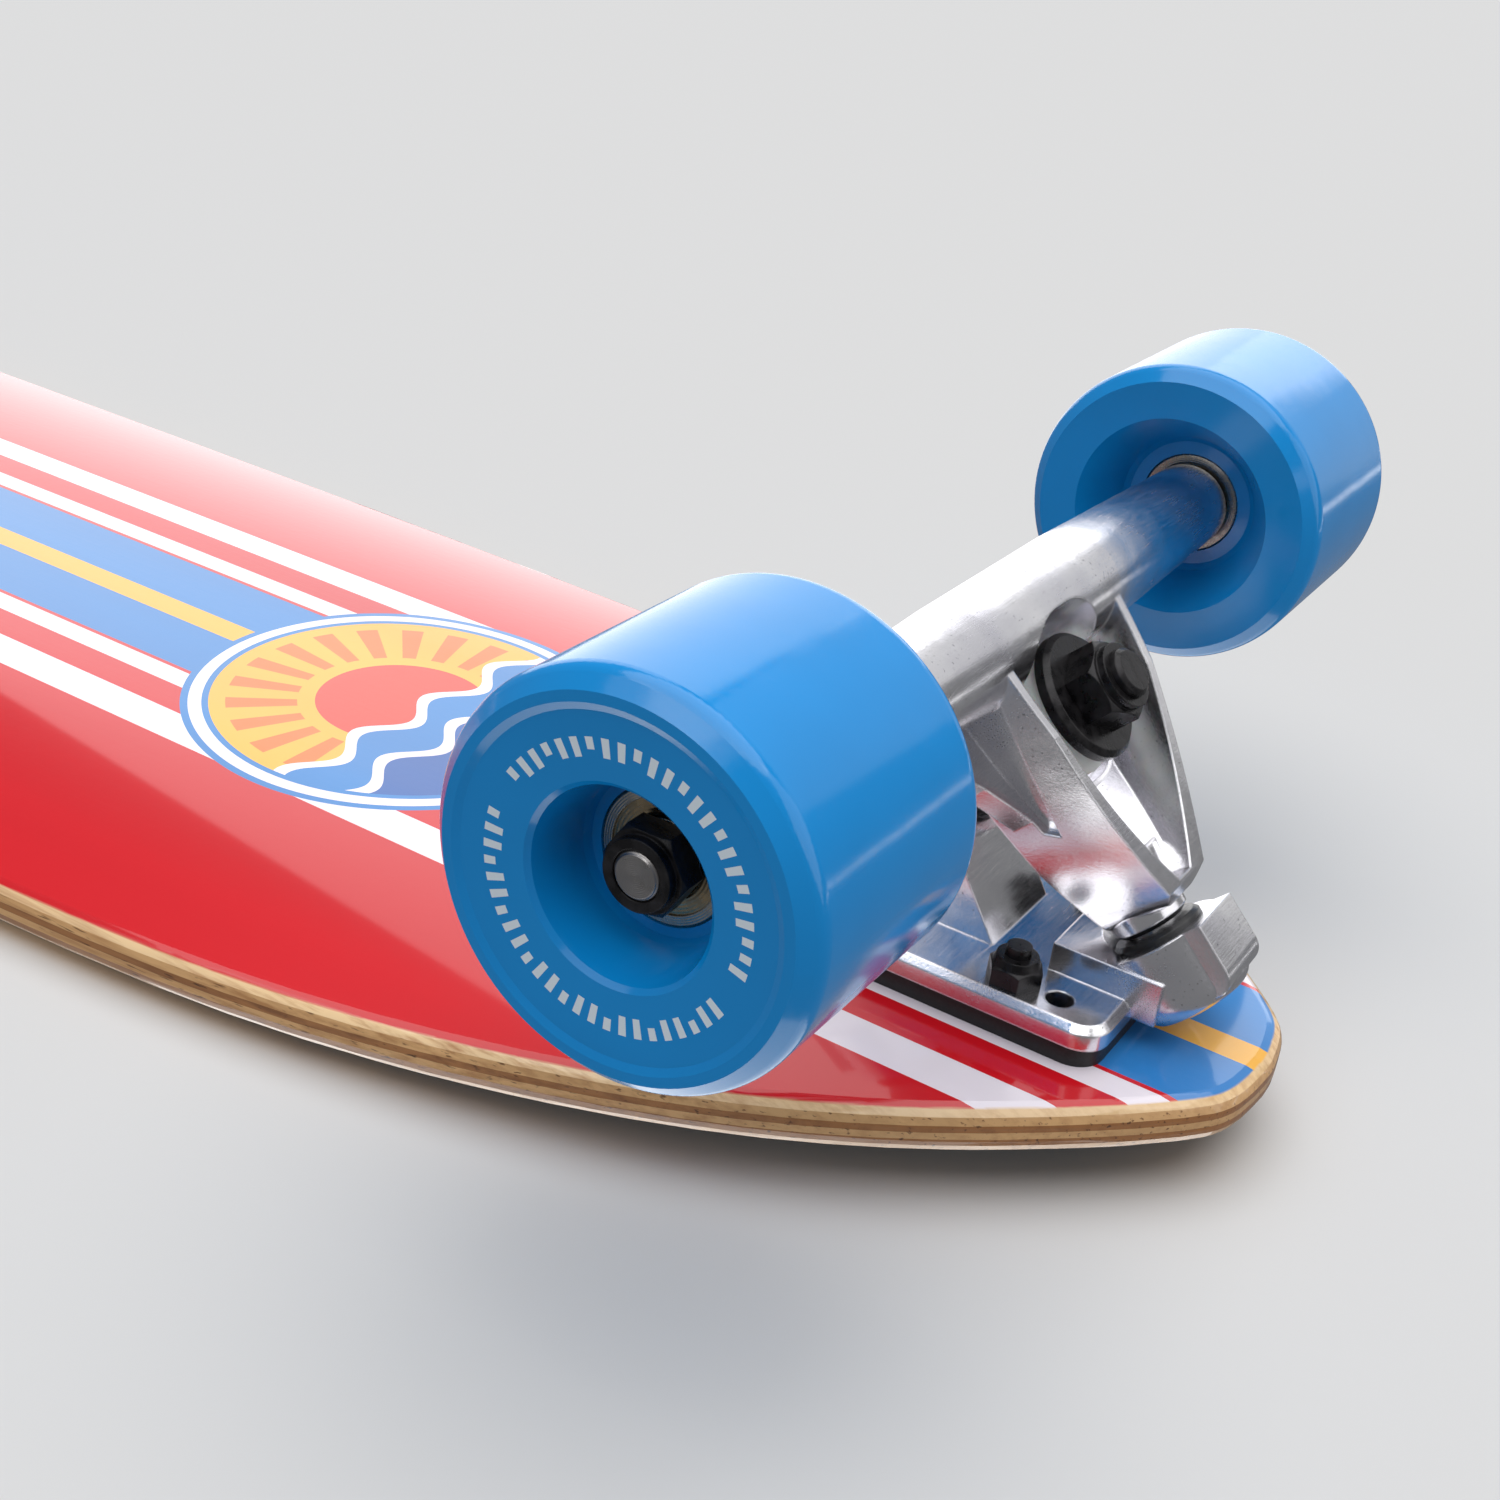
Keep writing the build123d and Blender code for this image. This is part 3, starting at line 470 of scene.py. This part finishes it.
def wheel_print(tree, radius, turn, out):
    """Ring of plain printed dashes, every third one shorter, with two gaps across from each other."""
    share = times(tree, maths(tree, "ADD", turn, math.pi), PRINT_DASHES / (2 * math.pi))
    cell = maths(tree, "FRACT", share)
    number = maths(tree, "FLOOR", share)
    third = maths(tree, "LESS_THAN", maths(tree, "MODULO", number, 3.0), 0.5)
    low = add(tree, PRINT_RING[0], times(tree, third, SHORT_DASH_CUT))
    tall = inside(tree, radius, low, PRINT_RING[1])
    dash = inside(tree, cell, *DASH_CELL)
    middle = times(tree, maths(tree, "ADD", number, sum(DASH_CELL) / 2), 2 * math.pi / PRINT_DASHES)
    from_gap = maths(tree, "ABSOLUTE", maths(tree, "SINE", add(tree, middle, GAP_TURN)))
    beside_gap = maths(tree, "GREATER_THAN", from_gap, GAP_HALF_WIDTH)
    return times(tree, tall, dash, beside_gap, maths(tree, "GREATER_THAN", out, OUTER_FACE))


def wheel_urethane(end):
    material, tree, shader = new_material("wheel_urethane_" + end)
    place = position(tree)
    radius, turn, out = from_axle(tree, end)
    cloud = noise(tree, place, 45.0, 2.0)
    fine = noise(tree, place, 900.0, 3.0)
    blue = mix(tree, smooth_step(tree, cloud, 0.3, 0.7), WHEEL_BLUE, scaled(WHEEL_BLUE, 0.93))
    ink = wheel_print(tree, radius, turn, out)
    feed(tree, shader.inputs["Base Color"], mix(tree, ink, blue, srgb(214, 226, 236)))
    gloss = add(tree, span(tree, fine, 0.3, 0.7, 0.10, 0.17), times(tree, ink, 0.2))
    feed(tree, shader.inputs["Roughness"], gloss)
    shader.inputs["Specular IOR Level"].default_value = 0.5
    relief(tree, shader, ((cloud, 0.0001), (fine, 0.000006)))
    return material


AXLE_STEEL = srgb(150, 147, 146)
RING_STEEL = srgb(178, 172, 160)
SHIELD_STEEL = srgb(170, 150, 118)
MATERIALS = {
    "printed_ply": deck_print(),
    "light_ply": ply("light_ply", WOOD_LIGHT, WOOD_DARK),
    "dark_ply": ply("dark_ply", srgb(176, 118, 66), srgb(130, 80, 42)),
    "grip": grip(),
    "riser": moulded("riser", srgb(18, 18, 19), 0.5),
    "cast_aluminium": cast_aluminium(),
    "black_steel": black_steel(),
    "bushing": bushing_urethane(),
    "pivot_cup": moulded("pivot_cup", srgb(15, 15, 16), 0.34),
    "bearing_ball": ball_steel(),
}
ROUND_MATERIALS = {}
for end in ENDS:
    ROUND_MATERIALS["wheel_urethane", end] = wheel_urethane(end)
    ROUND_MATERIALS["axle_steel", end] = turned_steel("axle_steel_" + end, AXLE_STEEL, 0.34, end, 0.0003)
    ROUND_MATERIALS["bearing_steel", end] = turned_steel("bearing_steel_" + end, RING_STEEL, 0.24, end)
    ROUND_MATERIALS["bearing_shield", end] = turned_steel(
        "bearing_shield_" + end, SHIELD_STEEL, 0.26, end, 0.0006)

slot_of = {entry["node"]: entry["material_slot"] for entry in frame["record"]["subparts"]}
for name in frame["nodes"]:
    end = "rear" if "_rear" in name else "front"
    paint_node(name, MATERIALS.get(slot_of[name]) or ROUND_MATERIALS[slot_of[name], end])


# ------------------------------------------------------------------ bushings

def lathe_mesh(name, profile, centre, axis, segments=96):
    """Closed ring turned from (radius, distance along the axis) points, in metres."""
    side = axis.orthogonal().normalized()
    other = axis.cross(side)
    mesh = bmesh.new()
    rings = []
    for number in range(segments):
        turn = 2 * math.pi * number / segments
        spoke = side * math.cos(turn) + other * math.sin(turn)
        rings.append([mesh.verts.new(centre + spoke * r + axis * d) for r, d in profile])
    for number in range(segments):
        here, there = rings[number], rings[(number + 1) % segments]
        for place in range(len(profile)):
            after = (place + 1) % len(profile)
            mesh.faces.new((here[place], there[place], there[after], here[after]))
    bmesh.ops.recalc_face_normals(mesh, faces=mesh.faces)
    data = bpy.data.meshes.new(name)
    mesh.to_mesh(data)
    mesh.free()
    for face in data.polygons:
        face.use_smooth = True
    thing = bpy.data.objects.new(name, data)
    bpy.context.collection.objects.link(thing)
    return thing


def rounded(corners, radius, steps=5):
    """Profile whose corners are rounded, each by at most half its shorter side."""
    points = []
    count = len(corners)
    for number, corner in enumerate(corners):
        here = Vector(corner)
        before = Vector(corners[number - 1]) - here
        after = Vector(corners[(number + 1) % count]) - here
        cut = min(radius, before.length / 2.2, after.length / 2.2)
        first = here + before.normalized() * cut
        last = here + after.normalized() * cut
        for step in range(steps + 1):
            t = step / steps
            points.append(tuple(first * (1 - t) ** 2 + here * (2 * t * (1 - t)) + last * t ** 2))
    return points


# (radius, distance toward the road from the ring's centre), millimetres
RING_HALF = 2.6
BORE = 5.0
ROAD_BUSHING = (
    (BORE, RING_HALF), (13.1, RING_HALF), (13.2, 6.6), (12.5, 8.0), (11.3, 10.0), (11.2, 12.4), (BORE, 12.4))
BOARD_BUSHING = (
    (BORE, -16.4), (11.2, -16.4), (11.3, -12.8), (13.4, -9.6), (13.6, -6.0), (13.4, -3.4),
    (13.1, -RING_HALF), (BORE, -RING_HALF))
CORNER = 0.9


def bushing(name, corners, end):
    metres = [(r * MM, d * MM) for r, d in corners]
    piece = lathe_mesh(f"{name}_{end}_soft", rounded(metres, CORNER * MM), RING[end], KINGPIN[end])
    piece.data.materials.append(MATERIALS["bushing"])
    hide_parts(f"{name}_{end}")
    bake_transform(piece)


for end in ENDS:
    bushing("bushing_roadside", ROAD_BUSHING, end)
    bushing("bushing_boardside", BOARD_BUSHING, end)


# ------------------------------------------------------------------ floors, light and camera

FLOOR_REACH = 300
FLOOR_GAP = 0.5 * MM


def floor(name, height, facing):
    """A pale plane that shows from its front only, so that it never hides the board from behind."""
    mesh = bpy.data.meshes.new(name)
    signs = ((-1, -1), (1, -1), (1, 1), (-1, 1))
    corners = [(x * FLOOR_REACH, y * FLOOR_REACH, height) for x, y in signs]
    order = (0, 1, 2, 3) if facing > 0 else (3, 2, 1, 0)
    mesh.from_pydata(corners, [], [order])
    thing = bpy.data.objects.new(name, mesh)
    bpy.context.collection.objects.link(thing)
    material, tree, shader = new_material(name)
    shader.inputs["Base Color"].default_value = (0.74, 0.74, 0.74, 1)
    shader.inputs["Roughness"].default_value = 0.9
    shader.inputs["Specular IOR Level"].default_value = 0.0
    clear = node(tree, "ShaderNodeBsdfTransparent")
    side = node(tree, "ShaderNodeNewGeometry").outputs["Backfacing"]
    chooser = node(tree, "ShaderNodeMixShader")
    tree.links.new(side, chooser.inputs[0])
    tree.links.new(shader.outputs[0], chooser.inputs[1])
    tree.links.new(clear.outputs[0], chooser.inputs[2])
    output = next(n for n in tree.nodes if n.type == "OUTPUT_MATERIAL")
    tree.links.new(chooser.outputs[0], output.inputs[0])
    mesh.materials.append(material)
    for ray in ("shadow", "diffuse", "glossy", "transmission"):
        setattr(thing, "visible_" + ray, False)
    return thing


# The suns light the floors. The softboxes leave them out, so that each floor stays one shade.
FLOORS = (floor("floor_under_deck", cad_high.z + FLOOR_GAP, -1), floor("floor_under_wheels", -FLOOR_GAP, 1))
spared = bpy.data.collections.new("not_lit_by_softboxes")
for plane in FLOORS:
    spared.objects.link(plane)
for entry in spared.collection_objects:
    entry.light_linking.link_state = "EXCLUDE"

scene = bpy.context.scene
world = bpy.data.worlds.new("studio")
scene.world = world
world.use_nodes = True
world.node_tree.nodes["Background"].inputs[0].default_value = (0.94, 0.95, 0.97, 1)
world.node_tree.nodes["Background"].inputs[1].default_value = 0.22


def area_light(name, place, axes, size, radiance):
    """Softbox with its own axes, as bright per unit of its face as asked."""
    data = bpy.data.lights.new(name, "AREA")
    data.shape = "RECTANGLE"
    data.size = size[0]
    data.size_y = size[1]
    data.energy = radiance * math.pi * size[0] * size[1]
    thing = bpy.data.objects.new(name, data)
    bpy.context.collection.objects.link(thing)
    thing.matrix_world = Matrix.Translation(place) @ Matrix(axes).transposed().to_4x4()
    thing.visible_camera = False
    thing.light_linking.receiver_collection = spared


def way(bearing, height):
    """Direction when the board lies on its deck: bearing off the far side toward the tail, and height."""
    turn, rise = math.radians(bearing), math.radians(height)
    return Vector((-math.sin(turn) * math.cos(rise), math.cos(turn) * math.cos(rise), -math.sin(rise)))


def softbox(name, first, last, width, distance, radiance):
    """Light seen from the near rear wheel between two directions."""
    middle = (first + last).normalized()
    length = 2 * distance * math.tan(first.angle(last) / 2)
    up = (first - last).normalized()
    side = up.cross(middle).normalized()
    area_light(name, WHEEL + middle * distance, (side, up, middle), (width, length), radiance)


SUN_SPREAD = 75


def soft_sun(name, heading, strength):
    """Broad even light along one way, for one of the two floors."""
    data = bpy.data.lights.new(name, "SUN")
    data.angle = math.radians(SUN_SPREAD)
    data.energy = strength
    thing = bpy.data.objects.new(name, data)
    bpy.context.collection.objects.link(thing)
    thing.rotation_euler = heading.to_track_quat("-Z", "Y").to_euler()


WHEEL_MIDDLE = -104 * MM
WHEEL = Vector((AXLE["rear"].x, WHEEL_MIDDLE, AXLE["rear"].z))
softbox("band", way(-10, 35.5), way(-46, -9), 3.4, 3.0, 1.6)
softbox("side", way(33, 14), way(-9, 35), 3.0, 3.1, 0.5)
softbox("strip", way(36, -5.6), way(36, -7.2), 1.6, 1.5, 2.0)
softbox("tail_side", way(62, 10), way(100, 42), 2.4, 2.6, 1.1)
softbox("front", way(200, 18), way(200, 62), 3.4, 3.0, 0.9)
soft_sun("top", Vector((0, 0, 1)), 2.45)
soft_sun("above", Vector((0, 0, -1)), 1.9)

CAMERA_FROM_AXLE = Vector((-0.12906, -0.33428, -0.14848))
LOOK = Vector((0.4417, 0.7786, 0.4459)).normalized()
ROLL = math.radians(7.021)
LENS = 49.56
SHIFT = (0.0244, -0.0185)


def make_camera():
    data = bpy.data.cameras.new("camera")
    data.sensor_width = 36.0
    data.lens = LENS
    data.shift_x, data.shift_y = SHIFT
    data.clip_start = 0.01
    data.clip_end = 1000.0
    thing = bpy.data.objects.new("camera", data)
    bpy.context.collection.objects.link(thing)
    right = LOOK.cross(Vector((0, 0, -1))).normalized()
    up = right.cross(LOOK)
    turned_right = right * math.cos(ROLL) + up * math.sin(ROLL)
    turned_up = up * math.cos(ROLL) - right * math.sin(ROLL)
    axes = Matrix((turned_right, turned_up, -LOOK)).transposed()
    thing.matrix_world = Matrix.Translation(AXLE["rear"] + CAMERA_FROM_AXLE) @ axes.to_4x4()
    scene.camera = thing


make_camera()
scene.view_settings.view_transform = "Standard"
